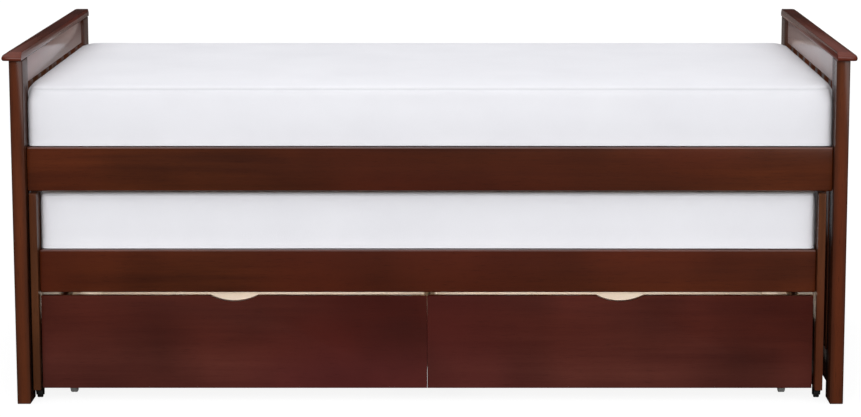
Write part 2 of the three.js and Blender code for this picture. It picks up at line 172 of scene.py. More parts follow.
# ------------------------------------------------------------------- timber
def timber(name, axis, dark, light, red, coat=1.0, coat_rough=0.13, rough=0.52,
           grain=1.0, mottle=1.0, level=0.06, bump=1.0, stain=None):
    """Stained and lacquered board; axis is the way the grain runs."""
    m, t, b = material(name)
    co = t.node("ShaderNodeTexCoord").outputs["Object"]
    rnd = t.node("ShaderNodeObjectInfo").outputs["Random"]
    w = t.math("MULTIPLY", rnd, 41.0)
    along = {"X": (1, 0, 0), "Y": (0, 1, 0), "Z": (0, 0, 1)}[axis]

    def stretched(a, c):
        return t.vmath("MULTIPLY", co, tuple(a if k else c for k in along))

    # slow wander of the grain lines
    wander = t.noise(stretched(1.1, 5.0), 1.0, 2.0, 0.5, w)
    wander = t.math("SUBTRACT", wander, 0.5)
    wv = t.vmath("SCALE", tuple(0.0 if k else 1.0 for k in along))
    wv.node.inputs["Scale"].default_value = 1.0
    t.link(t.math("MULTIPLY", wander, 0.9), wv.node.inputs["Scale"])
    figure_at = t.vmath("ADD", stretched(1.3, 17.0), wv)
    figure = t.noise(figure_at, 1.0, 5.0, 0.62, w, 0.4)
    fibres = t.noise(stretched(9.0, 330.0), 1.0, 3.0, 0.6, w)
    streaks = t.noise(stretched(2.4, 90.0), 1.0, 3.0, 0.55, w)
    pores = t.noise(stretched(42.0, 900.0), 1.0, 1.0, 0.5, w)
    patch = t.noise(co, 4.2, 2.0, 0.5, w)
    wide = t.noise(co, 1.35, 1.0, 0.5, t.math("ADD", w, 7.0))

    body = t.range(figure, 0.30, 0.72)
    fine = t.math("ADD", t.math("MULTIPLY", t.range(streaks, 0.3, 0.7), 0.55),
                  t.math("MULTIPLY", t.range(fibres, 0.25, 0.75), 0.45))
    tone = t.math("ADD", t.math("MULTIPLY", body, 0.55 * grain),
                  t.math("MULTIPLY", fine, 0.45 * grain))
    tone = t.math("ADD", tone, 0.5 * (1.0 - grain))
    colour = t.mix(tone, dark, light)
    colour = t.mix(t.range(wide, 0.38, 0.64, 0.0, 0.85, True), colour, red)
    # stain takes unevenly: darker and lighter clouds
    cloud = t.range(patch, 0.28, 0.72, 1.0 - 0.22 * mottle, 1.0 + 0.20 * mottle)
    colour = t.mix(1.0, colour, t.node("ShaderNodeCombineColor").outputs[0], "MULTIPLY")
    comb = colour.node.inputs[7].links[0].from_node
    for i in range(3):
        t.link(cloud, comb.inputs[i])
    # open pores hold darker stain
    pore = t.range(pores, 0.60, 0.74, 0.0, 0.45 * grain)
    colour = t.mix(pore, colour, tuple(0.35 * c for c in dark))
    if stain:
        colour = stain(t, co, colour, wide)
    t.link(colour, b.inputs["Base Color"])
    rgh = t.range(figure, 0.2, 0.8, rough - 0.05, rough + 0.07)
    t.link(rgh, b.inputs["Roughness"])
    b.inputs["Specular IOR Level"].default_value = level
    b.inputs["IOR"].default_value = 1.5
    b.inputs["Coat Weight"].default_value = coat
    b.inputs["Coat Roughness"].default_value = coat_rough
    b.inputs["Coat IOR"].default_value = 1.55
    relief = t.math("ADD", t.math("MULTIPLY", fibres, 0.5), t.math("MULTIPLY", streaks, 0.8))
    relief = t.math("SUBTRACT", relief, t.math("MULTIPLY", t.range(pores, 0.60, 0.74), 0.5))
    n1 = t.bump(relief, 0.00016 * bump, 0.6)
    n2 = t.bump(t.noise(co, 7.0, 2.0, 0.5, w), 0.0016, 0.35, n1)
    t.link(n2, b.inputs["Normal"])
    t.link(t.bump(t.noise(co, 9.0, 2.0, 0.5, w), 0.0012, 0.35), b.inputs["Coat Normal"])
    return m


def parts_of(t, co):
    sep = t.node("ShaderNodeSeparateXYZ")
    t.link(co, sep.inputs[0])
    return sep.outputs


def front_stain(t, co, colour, wide):
    """Each drawer front is redder and deeper towards its right end, paler towards the bottom edge."""
    x, _, z = parts_of(t, co)[:3]
    lo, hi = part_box("drawer_left_front")
    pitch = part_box("drawer_right_front")[0].x - lo.x
    u = t.math("FRACT", t.math("DIVIDE", t.math("SUBTRACT", x, lo.x), pitch))
    u = t.math("ADD", u, t.math("MULTIPLY", t.math("SUBTRACT", wide, 0.5), 0.5))
    right = t.range(u, 0.42, 0.92, 0.0, 0.95, True)
    cloud = t.noise(t.vmath("MULTIPLY", co, (3.0, 3.0, 6.0)), 1.0, 2.0, 0.5)
    low = t.range(t.math("ADD", z, t.math("MULTIPLY", t.math("SUBTRACT", cloud, 0.5), 0.10)), 0.215, 0.045, 0.0, 1.0, True)
    right = t.math("MULTIPLY", right, t.math("SUBTRACT", 1.0, t.math("MULTIPLY", low, 0.75)))
    colour = t.mix(right, colour, t.mix(1.0, colour, (0.78, 0.52, 0.34), "MULTIPLY"))
    return t.mix(low, colour, t.mix(1.0, colour, (1.17, 1.48, 1.80), "MULTIPLY"))


def rail_stain(t, co, colour, wide):
    """Long rails are a little deeper in the middle than at their ends."""
    x = parts_of(t, co)[0]
    far = t.math("ADD", t.math("ABSOLUTE", x), t.math("MULTIPLY", t.math("SUBTRACT", wide, 0.5), 0.9))
    return t.mix(1.0, colour, t.mix(t.range(far, 0.25, 0.85, 0.0, 1.0, True), (0.84, 0.82, 0.76), (1.12, 1.08, 0.98)), "MULTIPLY")


def post_stain(t, co, colour, wide):
    """Each post is lighter and warmer along the middle of its width, darker and cooler towards its sides."""
    x, _, z = parts_of(t, co)[:3]
    lo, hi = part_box("post_front_right")
    drift = t.noise(t.vmath("MULTIPLY", co, (1.0, 6.0, 2.2)), 1.0, 2.0, 0.5)
    off = t.math("SUBTRACT", t.math("ABSOLUTE", x), (lo.x + hi.x) / 2)
    off = t.math("ABSOLUTE", t.math("ADD", off, t.math("MULTIPLY", t.math("SUBTRACT", drift, 0.5), 0.012)))
    edge = t.range(off, 0.004, 0.0165, 0.0, 1.0, True)
    return t.mix(edge, t.mix(1.0, colour, (1.10, 1.0, 0.86), "MULTIPLY"), t.mix(1.0, colour, (0.66, 0.70, 0.78), "MULTIPLY"))


BROWN = dict(dark=srgb(54, 21, 8), light=srgb(90, 41, 16), red=srgb(80, 28, 13))
POST = dict(dark=srgb(47, 24, 12), light=srgb(101, 58, 32), red=srgb(85, 39, 21))
FRONT = dict(dark=srgb(57, 16, 10), light=srgb(84, 36, 25), red=srgb(78, 26, 22))
# painted reflection: the header's stain is lighter than the rails' so that its inner faces, which get little direct
# light, look as bright as the reflection on them
HEADER_PAINTED_REFLECTION = dict(dark=srgb(70, 30, 19), light=srgb(112, 56, 36), red=srgb(100, 40, 28))
CAP = dict(dark=srgb(62, 26, 15), light=srgb(104, 50, 32), red=srgb(94, 36, 24))
WOOD = {a: timber(f"stained_wood_{a.lower()}", a, **BROWN) for a in "XY"}
WOOD["Z"] = timber("stained_wood_z", "Z", coat=0.5, **POST)
RAIL_WOOD = timber("stained_rail_wood", "X", stain=rail_stain, **BROWN)
POST_WOOD = timber("stained_post_wood", "Z", coat=0.5, stain=post_stain, **POST)
HEADER_WOOD = timber("stained_header_wood", "Y", coat_rough=0.11, **HEADER_PAINTED_REFLECTION)
for node in HEADER_WOOD.node_tree.nodes:
    if node.type == "BSDF_PRINCIPLED":       # the hand-rubbed faces show a haze at low angles
        node.inputs["Sheen Weight"].default_value = 0.30
        node.inputs["Sheen Roughness"].default_value = 0.30
        node.inputs["Sheen Tint"].default_value = (1.0, 0.86, 0.82, 1)
CAP_WOOD = timber("stained_cap_wood", "Y", coat=0.6, **CAP)
FRONTS = timber("drawer_front_wood", "X", grain=0.7, mottle=1.2, stain=front_stain, **FRONT)


def softwood(name, axis, strap_z=None):
    m, t, b = material(name)
    co = t.node("ShaderNodeTexCoord").outputs["Object"]
    w = t.math("MULTIPLY", t.node("ShaderNodeObjectInfo").outputs["Random"], 23.0)
    sc = {"X": (1.2, 26, 26), "Y": (26, 1.2, 26)}[axis]
    rings = t.noise(t.vmath("MULTIPLY", co, sc), 1.0, 4.0, 0.55, w, 0.5)
    fib = t.noise(t.vmath("MULTIPLY", co, tuple(v * 14 for v in sc)), 1.0, 2.0, 0.5, w)
    lines = t.math("SINE", t.math("MULTIPLY", rings, 46.0))
    lines = t.range(lines, -1.0, 1.0)
    tone = t.math("ADD", t.math("MULTIPLY", lines, 0.55), t.math("MULTIPLY", fib, 0.45))
    colour = t.ramp(tone, [(0.15, srgb(176, 132, 84)), (0.5, srgb(206, 166, 114)), (0.9, srgb(224, 192, 146))])
    knot = t.noise(co, 6.5, 1.0, 0.5, w)
    colour = t.mix(t.range(knot, 0.70, 0.80), colour, srgb(120, 72, 38))
    height = t.math("ADD", t.math("MULTIPLY", lines, 0.4), fib)
    rough = t.range(fib, 0.2, 0.8, 0.62, 0.78)
    if strap_z is not None:
        sep = t.node("ShaderNodeSeparateXYZ")
        t.link(co, sep.inputs[0])
        under = t.math("LESS_THAN", sep.outputs[2], strap_z + 0.0001)
        halfy = 0.55 * strap_y[name]
        near = t.math("COMPARE", t.math("ABSOLUTE", sep.outputs[1]), halfy, 0.0157)
        strap = t.math("MULTIPLY", under, near)
        weave = t.math("SINE", t.math("MULTIPLY", sep.outputs[0], 2 * math.pi / 0.0021))
        weft = t.math("SINE", t.math("MULTIPLY", sep.outputs[1], 2 * math.pi / 0.0026))
        cloth = t.range(t.math("MULTIPLY", weave, weft), -1.0, 1.0)
        # painted shade: the strap's weave is darker in its hollows, the low parts of its bump
        colour = t.mix(strap, colour, t.mix(cloth, srgb(206, 202, 192), srgb(236, 233, 226)))
        height = t.math("ADD", height, t.math("MULTIPLY", t.math("MULTIPLY", cloth, strap), 1.6))
        rough = t.math("ADD", rough, t.math("MULTIPLY", strap, 0.18))
    t.link(colour, b.inputs["Base Color"])
    t.link(rough, b.inputs["Roughness"])
    b.inputs["Specular IOR Level"].default_value = 0.35
    t.link(t.bump(height, 0.00022, 0.7), b.inputs["Normal"])
    return m


def mid_y(node):
    lo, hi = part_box(node)
    return (hi.y - lo.y) / 2


strap_y = {"bed_slat_softwood": mid_y("bed_slats"), "trundle_slat_softwood": mid_y("trundle_slats")}
BED_SLATS = softwood("bed_slat_softwood", "Y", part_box("bed_slats")[0].z + 0.0016)
TRUNDLE_SLATS = softwood("trundle_slat_softwood", "Y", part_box("trundle_slats")[0].z + 0.0016)
LEDGE = softwood("ledge_softwood", "X")


def melamine():
    m, t, b = material("cream_melamine")
    co = t.node("ShaderNodeTexCoord").outputs["Object"]
    w = t.math("MULTIPLY", t.node("ShaderNodeObjectInfo").outputs["Random"], 17.0)
    soft = t.noise(t.vmath("MULTIPLY", co, (5, 1.5, 5)), 1.0, 3.0, 0.5, w)
    fleck = t.noise(t.vmath("MULTIPLY", co, (420, 60, 420)), 1.0, 2.0, 0.5, w)
    colour = t.ramp(t.math("ADD", t.math("MULTIPLY", soft, 0.7), t.math("MULTIPLY", fleck, 0.3)),
                    [(0.25, srgb(229, 215, 199)), (0.55, srgb(238, 227, 213)), (0.8, srgb(243, 235, 225))])
    t.link(colour, b.inputs["Base Color"])
    t.link(t.range(fleck, 0.2, 0.8, 0.38, 0.5), b.inputs["Roughness"])
    t.link(t.bump(t.noise(co, 900.0, 2.0, 0.5), 0.00008, 0.5), b.inputs["Normal"])
    return m


PANEL = melamine()


def plastic(name, base, other, rough, bump=0.0001, scale=400.0, metal=0.0):
    m, t, b = material(name)
    co = t.node("ShaderNodeTexCoord").outputs["Object"]
    n = t.noise(co, scale, 3.0, 0.55)
    big = t.noise(co, 60.0, 2.0, 0.5)
    t.link(t.mix(t.range(big, 0.3, 0.7), base, other), b.inputs["Base Color"])
    t.link(t.range(n, 0.25, 0.75, rough - 0.06, rough + 0.08), b.inputs["Roughness"])
    b.inputs["Metallic"].default_value = metal
    t.link(t.bump(n, bump, 0.6), b.inputs["Normal"])
    return m


FORK = plastic("black_enamel", srgb(17, 16, 16), srgb(24, 23, 23), 0.36, 0.00006, 700.0)
TREAD = plastic("black_tread", srgb(20, 20, 20), srgb(30, 29, 29), 0.62, 0.00012, 900.0)
HUB = plastic("grey_hub", srgb(150, 150, 148), srgb(172, 172, 168), 0.45)
WHEEL = plastic("grey_wheel", srgb(176, 177, 175), srgb(196, 196, 192), 0.42, 0.00008, 600.0)
WHEEL_TREAD = plastic("dark_wheel_tread", srgb(142, 142, 140), srgb(164, 164, 160), 0.6, 0.00012, 800.0)
STEEL = plastic("zinc_steel", srgb(150, 152, 156), srgb(178, 180, 184), 0.32, 0.00003, 1200.0, 1.0)


# ------------------------------------------------- materials on the CAD nodes
def paint(node, mat):
    o = NODES[node]
    o.data.materials.clear()
    o.data.materials.append(mat)


def soften(node, width, segments=3, angle=35):
    o = NODES[node]
    for p in o.data.polygons:
        p.use_smooth = True
    wm = o.modifiers.new("weld", "WELD")
    wm.merge_threshold = 0.00002
    dm = o.modifiers.new("flat faces", "DECIMATE")
    dm.decimate_type = "DISSOLVE"
    dm.angle_limit = math.radians(1.0)
    bm = o.modifiers.new("round", "BEVEL")
    bm.width = width
    bm.segments = segments
    bm.limit_method = "ANGLE"
    bm.angle_limit = math.radians(angle)
    bm.harden_normals = True
    bm.use_clamp_overlap = True
    bm.miter_outer = "MITER_ARC"


for n in sorted(NODES):
    if n.startswith("post_"):
        paint(n, POST_WOOD)
        soften(n, 0.0022)
    elif n.startswith("trundle_leg"):
        paint(n, WOOD["Z"])
        soften(n, 0.0018)
    elif n.startswith("end_slats"):
        paint(n, WOOD["Z"])
        soften(n, 0.0012, 2)
    elif n.startswith("end_cap"):
        paint(n, CAP_WOOD)
        soften(n, 0.0009, 2, 28)
    elif n.startswith("end_top"):
        paint(n, HEADER_WOOD)
        soften(n, 0.0020)
    elif n.startswith(("end_bottom", "trundle_end_panel")):
        paint(n, WOOD["Y"])
        soften(n, 0.0020)
    elif n.startswith(("side_rail", "trundle_rail")):
        paint(n, RAIL_WOOD)
        soften(n, 0.0035, 4)
    elif n.startswith("drawer") and n.endswith("_front"):
        paint(n, FRONTS)
        soften(n, 0.0026, 4)
    elif "ledge" in n:
        paint(n, LEDGE)
        soften(n, 0.0012, 2)
    elif n == "bed_slats":
        paint(n, BED_SLATS)
        soften(n, 0.0010, 2)
    elif n == "trundle_slats":
        paint(n, TRUNDLE_SLATS)
        soften(n, 0.0010, 2)
    elif n.startswith("drawer") and ("_side_" in n or n.endswith(("_back", "_bottom"))):
        paint(n, PANEL)
        soften(n, 0.0006, 2)
    elif "_runner_" in n:
        paint(n, WOOD["Y"])
        soften(n, 0.0010, 2)
    elif n.startswith("castor_fork"):
        paint(n, FORK)
        soften(n, 0.0003, 2, 40)
    elif n.startswith("castor_wheel"):
        paint(n, TREAD)
    elif "_wheel_" in n:
        paint(n, WHEEL)
    elif n.endswith("mattress"):
        pass
    else:
        raise RuntimeError(f"no finish for {n}")


# -------------------------------------------------------------------- wheels
def turned(name, profile, at, axis, segments=48, ribs=()):
    """Closed ring or disc turned about axis; profile is (along, radius) pairs in order round it."""
    ax = Vector(axis).normalized()
    up = Vector((0, 0, 1))
    side = up.cross(ax).normalized()
    at = Vector(at)
    bm = bmesh.new()
    rings = []
    for x, r in profile:
        if r < 1e-6:
            rings.append([bm.verts.new(at + ax * x)])
        else:
            rings.append([bm.verts.new(at + ax * x + (side * math.cos(a) + up * math.sin(a)) * r)
                          for a in (2 * math.pi * i / segments for i in range(segments))])
    closed = len(rings[0]) > 1
    pairs = list(zip(rings, rings[1:])) + ([(rings[-1], rings[0])] if closed else [])
    for a, b in pairs:
        for i in range(segments):
            j = (i + 1) % segments
            if len(a) == 1:
                bm.faces.new((a[0], b[j], b[i]))
            elif len(b) == 1:
                bm.faces.new((a[i], a[j], b[0]))
            else:
                bm.faces.new((a[i], a[j], b[j], b[i]))
    for angle, r0, r1, half_w, half_x in ribs:
        d = side * math.cos(angle) + up * math.sin(angle)
        q = ax.cross(d)
        v = [bm.verts.new(at + d * r + q * w + ax * x) for x in (-half_x, half_x) for r, w in
             ((r0, -half_w), (r1, -half_w * 0.8), (r1, half_w * 0.8), (r0, half_w))]
        for f in ((3, 2, 1, 0), (4, 5, 6, 7), (0, 1, 5, 4), (1, 2, 6, 5), (2, 3, 7, 6), (3, 0, 4, 7)):
            bm.faces.new([v[i] for i in f])
    bmesh.ops.recalc_face_normals(bm, faces=bm.faces)
    mesh = bpy.data.meshes.new(name)
    bm.to_mesh(mesh)
    bm.free()
    for p in mesh.polygons:
        p.use_smooth = True
    mesh.set_sharp_from_angle(angle=math.radians(38))
    o = bpy.data.objects.new(name, mesh)
    scene.collection.objects.link(o)
    return o


def section(pairs, radius=0.0005, steps=3):
    """Rounds the corners of a closed (along, radius) outline."""
    out = []
    n = len(pairs)
    for i in range(n):
        p = np.array(pairs[i])
        a, b = np.array(pairs[i - 1]) - p, np.array(pairs[(i + 1) % n]) - p
        la, lb = np.linalg.norm(a), np.linalg.norm(b)
        k = min(radius, 0.45 * la, 0.45 * lb)
        s, e = p + a / la * k, p + b / lb * k
        for j in range(steps + 1):
            f = j / steps
            out.append(tuple((1 - f) ** 2 * s + 2 * f * (1 - f) * p + f * f * e))
    return out


def wheel_set(node, body, at, axis, radius, width, bore, tyre_mat, hub_mat, pin=None):
    h = width / 2
    tread = radius * (0.82 if pin else 0.74)
    tyre = turned(f"{node}_tyre", section([
        (-h, tread), (-h, radius - 0.0014), (-h + 0.0016, radius), (-0.0009, radius), (0.0, radius - 0.0007),
        (0.0009, radius), (h - 0.0016, radius), (h, radius - 0.0014), (h, tread)], 0.0006), at, axis, 64)
    tyre.data.materials.append(tyre_mat)
    web, boss = h * 0.42, radius * 0.30
    hub = turned(f"{node}_hub", section([
        (-h * 0.94, bore), (-h * 0.94, boss), (-web, boss + 0.0010), (-web, tread * 0.86), (-h * 0.90, tread * 0.89),
        (-h * 0.90, tread - 0.0001), (h * 0.90, tread - 0.0001), (h * 0.90, tread * 0.89), (web, tread * 0.86),
        (web, boss + 0.0010), (h * 0.94, boss), (h * 0.94, bore)], 0.0004), at, axis, 48,
        [(2 * math.pi * i / 6 + 0.26, boss * 0.8, tread * 0.93, radius * 0.035, h * 0.74) for i in range(6)])
    hub.data.materials.append(hub_mat)
    made = [tyre, hub]
    if pin:
        r, half = pin
        axle = turned(f"{node}_axle", [(-half, 0.0)] + section([(-half, 0.0001), (-half, r), (half, r), (half, 0.0001)],
                                                              0.0005)[4:12] + [(half, 0.0)], at, axis, 24)
        axle.data.materials.append(STEEL)
        made.append(axle)
    for o in made:
        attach(o, body)
    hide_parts(node)


body_of = {n: b for b, ns in frame["record"]["behaviour"]["bodies"].items() for n in ns}
spin = {j["child"]: j for j in frame["record"]["behaviour"]["joints"] if "spin" in j["name"]}
for n in sorted(NODES):
    if n.startswith("castor_wheel"):
        j = spin[body_of[n]]
        wheel_set(n, body_of[n], j["pos_m"], j["axis"], 0.0125, 0.014, 0.0024, TREAD, FORK)
    elif "_wheel_" in n:
        j = spin[body_of[n]]
        wheel_set(n, body_of[n], j["pos_m"], j["axis"], 0.025, 0.016, 0.0029, WHEEL_TREAD, WHEEL,
                  (0.003, 0.0215))


# ------------------------------------------------------------------ mattress
def fabric(name, seams, tone=1.0):
    m, t, b = material(name)
    tc = t.node("ShaderNodeTexCoord").outputs["Object"]
    sep = t.node("ShaderNodeSeparateXYZ")
    t.link(tc, sep.inputs[0])
    geo = t.node("ShaderNodeNewGeometry")
    nrm = t.node("ShaderNodeSeparateXYZ")
    t.link(geo.outputs["True Normal"], nrm.inputs[0])
    pitch = 0.0022

    def wave(value, p, shift=0.0):
        return t.math("SINE", t.math("ADD", t.math("MULTIPLY", value, 2 * math.pi / p), shift))

    def knit(u, v):
        a = wave(u, pitch)
        c = wave(t.math("ADD", v, t.math("MULTIPLY", t.math("ABSOLUTE", wave(u, pitch * 2)), pitch * 0.6)), pitch * 0.8)
        return t.math("MULTIPLY", t.math("ADD", a, 1.0), t.math("ADD", c, 1.0))

    top = knit(sep.outputs[0], sep.outputs[1])
    front = knit(sep.outputs[0], sep.outputs[2])
    end = knit(sep.outputs[1], sep.outputs[2])
    az = t.range(t.math("ABSOLUTE", nrm.outputs[2]), 0.6, 0.8)
    ax = t.range(t.math("ABSOLUTE", nrm.outputs[0]), 0.6, 0.8)
    side = t.node("ShaderNodeMix", data_type="FLOAT")
    t.link(ax, side.inputs[0])
    t.link(front, side.inputs[2])
    t.link(end, side.inputs[3])
    allk = t.node("ShaderNodeMix", data_type="FLOAT")
    t.link(az, allk.inputs[0])
    t.link(side.outputs[0], allk.inputs[2])
    t.link(top, allk.inputs[3])
    k = allk.outputs[0]
    soft = t.noise(tc, 5.0, 3.0, 0.5)
    fluff = t.noise(tc, 900.0, 2.0, 0.6)
    # tone scales the whole knit colour; a tone above 1 is painted light
    colour = t.ramp(soft, [(0.25, tuple(tone * c for c in (0.775, 0.775, 0.812))), (0.75, tuple(tone * c for c in (0.815, 0.815, 0.85)))])
    # painted shade: the knit's hollows, the low parts of its bump, are darkened in the colour
    colour = t.mix(t.range(k, 0.0, 2.2, 0.10, 0.0), colour, (0.60, 0.60, 0.64))
    t.link(colour, b.inputs["Base Color"])
    t.link(t.range(fluff, 0.2, 0.8, 0.86, 0.96), b.inputs["Roughness"])
    b.inputs["Specular IOR Level"].default_value = 0.2
    b.inputs["Sheen Weight"].default_value = 0.06
    b.inputs["Sheen Roughness"].default_value = 0.4
    n1 = t.bump(t.math("ADD", k, t.math("MULTIPLY", fluff, 0.8)), 0.00022, 0.55)
    # sewn seams where the border meets the top and bottom panels
    groove = None
    for z in seams:
        off = t.math("ABSOLUTE", t.math("SUBTRACT", sep.outputs[2], z))
        g = t.range(off, 0.0, 0.0021, 1.0, 0.0, True)
        groove = g if groove is None else t.math("MAXIMUM", groove, g)
    n2 = t.bump(t.math("SUBTRACT", 1.0, groove), 0.0011, 0.7, n1)
    t.link(n2, b.inputs["Normal"])
    # painted shade: the colour is made greyer where the surface bends over the rounded top edge, picked out by the
    # surface's direction
    smooth = t.node("ShaderNodeSeparateXYZ")
    t.link(t.node("ShaderNodeTexCoord").outputs["Normal"], smooth.inputs[0])
    nz = t.math("MAXIMUM", smooth.outputs[2], 0.0)
    n2z = t.math("MULTIPLY", nz, nz)
    edge_painted_shade = t.math("MULTIPLY", t.math("MULTIPLY", n2z, t.math("SUBTRACT", 1.0, n2z)), 4.0)
    colour = t.mix(edge_painted_shade, colour, t.mix(1.0, colour, (0.81, 0.81, 0.81), "MULTIPLY"))
    # painted shade: the seam grooves are also darkened in the colour
    shade = t.mix(t.math("MULTIPLY", groove, 0.10), colour, (0.42, 0.42, 0.45))
    t.link(shade, b.inputs["Base Color"])
    return m


def rounded_block(name, lo, hi, corner, edge, steps=8):
    """Closed rounded block as a stack of rounded loops."""
    bm = bmesh.new()
    cx, cy = (lo.x + hi.x) / 2, (lo.y + hi.y) / 2
    hx, hy = (hi.x - lo.x) / 2, (hi.y - lo.y) / 2
    levels = []
    for i in range(steps + 1):
        a = i / steps * math.pi / 2
        levels.append((edge * (1 - math.sin(a)), lo.z + edge * (1 - math.cos(a))))
    for i in range(steps + 1):
        a = i / steps * math.pi / 2
        levels.append((edge * (1 - math.cos(a)), hi.z - edge * (1 - math.sin(a))))
    rings = []
    for inset, z in levels:
        r = max(corner - 0.5 * inset, 0.004)
        ring = []
        for q, (sx, sy) in enumerate(((1, 1), (-1, 1), (-1, -1), (1, -1))):
            px, py = cx + sx * (hx - inset - r), cy + sy * (hy - inset - r)
            for i in range(steps + 1):
                a = (q + i / steps) * math.pi / 2
                ring.append(bm.verts.new((px + r * math.cos(a), py + r * math.sin(a), z)))
        rings.append(ring)
    for a, b in zip(rings, rings[1:]):
        n = len(a)
        for i in range(n):
            j = (i + 1) % n
            bm.faces.new((a[i], a[j], b[j], b[i]))
    bm.faces.new(list(reversed(rings[0])))
    bm.faces.new(rings[-1])
    mesh = bpy.data.meshes.new(name)
    bm.to_mesh(mesh)
    bm.free()
    o = bpy.data.objects.new(name, mesh)
    scene.collection.objects.link(o)
    return o


def apply_all(o):
    dg = bpy.context.evaluated_depsgraph_get()
    e = o.evaluated_get(dg)
    mesh = bpy.data.meshes.new_from_object(e, preserve_all_data_layers=True, depsgraph=dg)
    old = o.data
    o.modifiers.clear()
    o.data = mesh
    bpy.data.meshes.remove(old)


def coords(o):
    a = np.zeros(len(o.data.vertices) * 3, np.float32)
    o.data.vertices.foreach_get("co", a)
    return a.reshape(-1, 3).astype(float)


def set_coords(o, a):
    o.data.vertices.foreach_set("co", a.astype(np.float32).ravel())
    o.data.update()


def make_mattress(name, node, body, corner, edge, voxel, cap, crown, lift, free_z, lean_y, fold_y, lean_x=0.0, post_y=0.0, round_top=None):
    lo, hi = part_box(node)
    shrink = 0.0020
    lo2 = Vector((lo.x + shrink, lo.y + shrink, lo.z + 0.0006))
    hi2 = Vector((hi.x - shrink, hi.y - shrink, hi.z - 0.0025))
    o = rounded_block(name, lo2, hi2, corner, edge)
    m = o.modifiers.new("remesh", "REMESH")
    m.mode = "VOXEL"
    m.voxel_size = voxel
    m.adaptivity = 0.0
    apply_all(o)
    rest = coords(o)
    cl = o.modifiers.new("cloth", "CLOTH")
    s = cl.settings
    s.quality = 4
    s.mass = 0.35
    s.tension_stiffness = 28
    s.compression_stiffness = 28
    s.shear_stiffness = 18
    s.bending_stiffness = 6
    s.use_pressure = True
    s.uniform_pressure_force = 4.0
    s.effector_weights.gravity = 0.0
    cl.collision_settings.use_collision = False
    for f in range(1, 21):
        scene.frame_set(f)
    dg = bpy.context.evaluated_depsgraph_get()
    ev = o.evaluated_get(dg)
    got = np.zeros(len(ev.data.vertices) * 3, np.float32)
    ev.data.vertices.foreach_get("co", got)
    got = got.reshape(-1, 3).astype(float)
    o.modifiers.clear()
    scene.frame_set(1)
    step = got - rest
    normal = np.zeros(len(o.data.vertices) * 3, np.float32)
    o.data.vertex_normals.foreach_get("vector", normal)
    normal = normal.reshape(-1, 3).astype(float)
    inward = np.minimum((step * normal).sum(1), 0.0)
    step -= normal * (0.9 * inward)[:, None]     # the filling keeps the corners out
    size = np.linalg.norm(step, axis=1)
    limit = cap * np.tanh(size / cap) / np.maximum(size, 1e-9)
    set_coords(o, rest + step * limit[:, None])
    sub = o.modifiers.new("sub", "SUBSURF")
    sub.levels = sub.render_levels = 1
    apply_all(o)
    a = coords(o)
    mx, my, mz = (lo.x + hi.x) / 2, (lo.y + hi.y) / 2, (lo.z + hi.z) / 2
    hx, hy = (hi.x - lo.x) / 2, (hi.y - lo.y) / 2
    # filled out to its own length and width
    belt = np.abs(a[:, 2] - mz) < 0.25 * (hi.z - lo.z)
    for i, m, h in ((0, mx, hx), (1, my, hy)):
        d = np.abs(a[:, i] - m)
        a[:, i] = m + (a[:, i] - m) * (h - 0.0003) / np.median(d[belt & (d > h - 0.02)])
    edge_top = np.median(a[(a[:, 2] > mz) & (np.abs(a[:, 1] - my) > 0.9 * hy) & (np.abs(a[:, 1] - my) < 0.95 * hy), 2])
    a[:, 2] = lo.z + (a[:, 2] - lo.z) * (hi.z + lift - lo.z) / (edge_top - lo.z)
    # the sewn edge stands squarer than a plain pillow would
    r0 = edge + 0.001
    inner = np.stack([np.clip(a[:, 0] - mx, r0 - hx, hx - r0), np.clip(a[:, 1] - my, r0 - hy, hy - r0),
                      np.clip(a[:, 2], lo.z + r0, hi.z + lift - r0)], 1)
    v = np.stack([a[:, 0] - mx, a[:, 1] - my, a[:, 2]], 1) - inner
    flat = np.hypot(v[:, 0], v[:, 1])
    tall = np.abs(v[:, 2])
    f = np.hypot(flat, tall) / np.maximum((flat ** 4 + tall ** 4) ** 0.25, 1e-9)
    a = inner + v * np.where(flat + tall > 1e-6, f, 1.0)[:, None] + np.array([mx, my, 0.0])
    # the top corners at the front are pulled round by the cover
    if round_top:
        big, deep = round_top
        u = np.clip((a[:, 2] - (hi.z + lift - deep)) / deep, 0, 1) ** 1.6
        u *= np.clip((my - a[:, 1]) / (0.5 * hy), 0, 1)
        cx = np.maximum(np.abs(a[:, 0] - mx) - (hx - big), 0)
        cy = np.maximum(np.abs(a[:, 1] - my) - (hy - big), 0)
        away = np.hypot(cx, cy)
        pull = np.where(away > big, 1.0 - big / np.maximum(away, 1e-9), 0.0) * u
        a[:, 0] -= np.sign(a[:, 0] - mx) * cx * pull
        a[:, 1] -= np.sign(a[:, 1] - my) * cy * pull
        a[:, 2] -= 0.004 * u * np.clip((away - 0.5 * big) / big, 0, 1) ** 2
        # and the end edges are rounder at their front tips
        r1 = 0.027
        ex = np.maximum(np.abs(a[:, 0] - mx) - (hx - r1), 0)
        ez = np.maximum(a[:, 2] - (hi.z + lift - r1), 0)
        far = np.hypot(ex, ez)
        ease = np.where(far > r1, 1.0 - r1 / np.maximum(far, 1e-9), 0.0) * np.clip(((my - a[:, 1]) / hy - 0.74) / 0.20, 0, 1)
        a[:, 0] -= np.sign(a[:, 0] - mx) * ex * ease
        a[:, 2] -= ez * ease
    # flat where it lies on the slats, clear of the boards at its sides
    a[:, 0] = np.clip(a[:, 0], lo.x + 0.0002, hi.x - 0.0002)
    low = a[:, 2] < free_z
    a[low, 1] = np.clip(a[low, 1], lo.y + 0.0002, hi.y - 0.0002)
    a[:, 1] = np.clip(a[:, 1], lo.y - 0.002, hi.y + 0.002)
    a[:, 2] = np.maximum(a[:, 2], lo.z + 0.0003)
